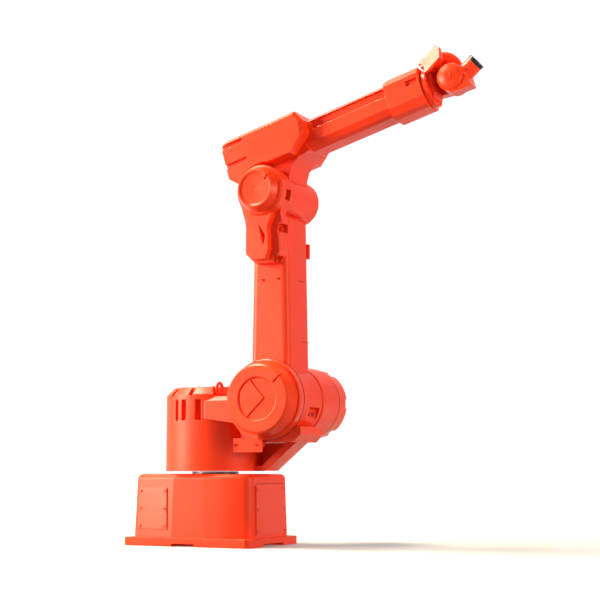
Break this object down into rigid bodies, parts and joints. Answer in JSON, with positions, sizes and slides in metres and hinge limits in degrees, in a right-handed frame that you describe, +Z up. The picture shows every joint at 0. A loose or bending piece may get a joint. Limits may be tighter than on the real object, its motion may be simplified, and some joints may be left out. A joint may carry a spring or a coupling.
{
  "type": "industrial robot arm",
  "caption": "Floor-mounted jointed industrial robot arm with a turning base, shoulder, lower arm, elbow, forearm and wrist ending in a small tool flange.",
  "frame": {"origin": "on the floor, where the turret's turning axis meets the underside of the base plate", "axes": "+Z up along the turret axis, +X forward the way the arm reaches, +Y to the robot's left"},
  "size_m": [1.0894, 0.424, 1.4124],
  "materials": {
    "base_plate": "satin",
    "base_housing": "satin",
    "neck_metal": "satin",
    "side_cover_near": "satin",
    "side_cover_far": "satin",
    "front_cover": "satin",
    "rear_panel": "satin",
    "socket_metal": "matt",
    "turret_column": "satin",
    "column_lid": "satin",
    "near_cheek": "satin",
    "far_cheek": "satin",
    "flange_ring": "satin",
    "shoulder_cover": "satin",
    "drive_drum": "satin",
    "drum_cap": "satin",
    "shoulder_bridge": "satin",
    "front_strut": "satin",
    "strut_web": "satin",
    "bracket_plate": "satin",
    "eye_paint": "satin",
    "arm_beam": "satin",
    "arm_hub": "satin",
    "elbow_housing": "satin",
    "elbow_cover": "satin",
    "arm_clamp": "satin",
    "elbow_drum": "satin",
    "rear_housing": "satin",
    "rear_lid": "satin",
    "top_lid": "satin",
    "saddle": "satin",
    "forearm_tube": "satin",
    "front_block": "satin",
    "roll_flange": "satin",
    "yoke": "satin",
    "belt_housing": "satin",
    "belt_cover": "satin",
    "bend_body": "satin",
    "bend_cover": "satin",
    "tool_metal": "satin"
  },
  "bodies": {
    "base": {"base_plate": "base_plate", "base_housing": "base_housing", "neck_ring": "neck_metal", "side_cover_near": "side_cover_near", "side_cover_far": "side_cover_far", "front_cover": "front_cover", "rear_panel": "rear_panel", "rear_sockets": "socket_metal"},
    "turret": {"turret_column": "turret_column", "column_lid": "column_lid", "near_cheek": "near_cheek", "far_cheek": "far_cheek", "flange_ring": "flange_ring", "shoulder_cover": "shoulder_cover", "drive_drum": "drive_drum", "drum_cap": "drum_cap", "shoulder_bridge": "shoulder_bridge", "front_strut": "front_strut", "strut_web": "strut_web", "bracket_plate": "bracket_plate", "lifting_eye": "eye_paint"},
    "lower_arm": {"arm_beam": "arm_beam", "arm_hub": "arm_hub", "elbow_housing": "elbow_housing", "elbow_cover": "elbow_cover", "arm_clamp": "arm_clamp"},
    "forearm": {"elbow_drum": "elbow_drum", "rear_housing": "rear_housing", "rear_lid": "rear_lid", "top_lid": "top_lid", "saddle": "saddle", "forearm_tube": "forearm_tube", "front_block": "front_block"},
    "wrist_roll": {"roll_flange": "roll_flange", "yoke": "yoke", "belt_housing": "belt_housing", "belt_cover": "belt_cover"},
    "wrist_bend": {"bend_body": "bend_body", "bend_cover": "bend_cover"},
    "tool": {"tool_flange": "tool_metal"}
  },
  "joints": [
    {"name": "turret_turn", "type": "hinge", "parent": "base", "child": "turret", "pos_m": [0, 0, 0.214], "axis": [0, 0, 1], "range_deg": [-165, 165]},
    {"name": "shoulder", "type": "hinge", "parent": "turret", "child": "lower_arm", "pos_m": [0.22, 0, 0.417], "axis": [0, 1, 0], "range_deg": [-45, 90]},
    {"name": "elbow", "type": "hinge", "parent": "lower_arm", "child": "forearm", "pos_m": [0.22, 0, 1.017], "axis": [0, -1, 0], "range_deg": [-90, 60]},
    {"name": "wrist_roll", "type": "hinge", "parent": "forearm", "child": "wrist_roll", "pos_m": [0.68938, 0, 1.28475], "axis": [0.9613, 0, 0.2756], "range_deg": [-180, 180]},
    {"name": "wrist_bend", "type": "hinge", "parent": "wrist_roll", "child": "wrist_bend", "pos_m": [0.76724, 0, 1.30708], "axis": [0, -1, 0], "range_deg": [-80, 45]},
    {"name": "tool_turn", "type": "hinge", "parent": "wrist_bend", "child": "tool", "pos_m": [0.837, 0, 1.35182], "axis": [0.7547, 0, 0.6561], "range_deg": [-360, 360]}
  ]
}
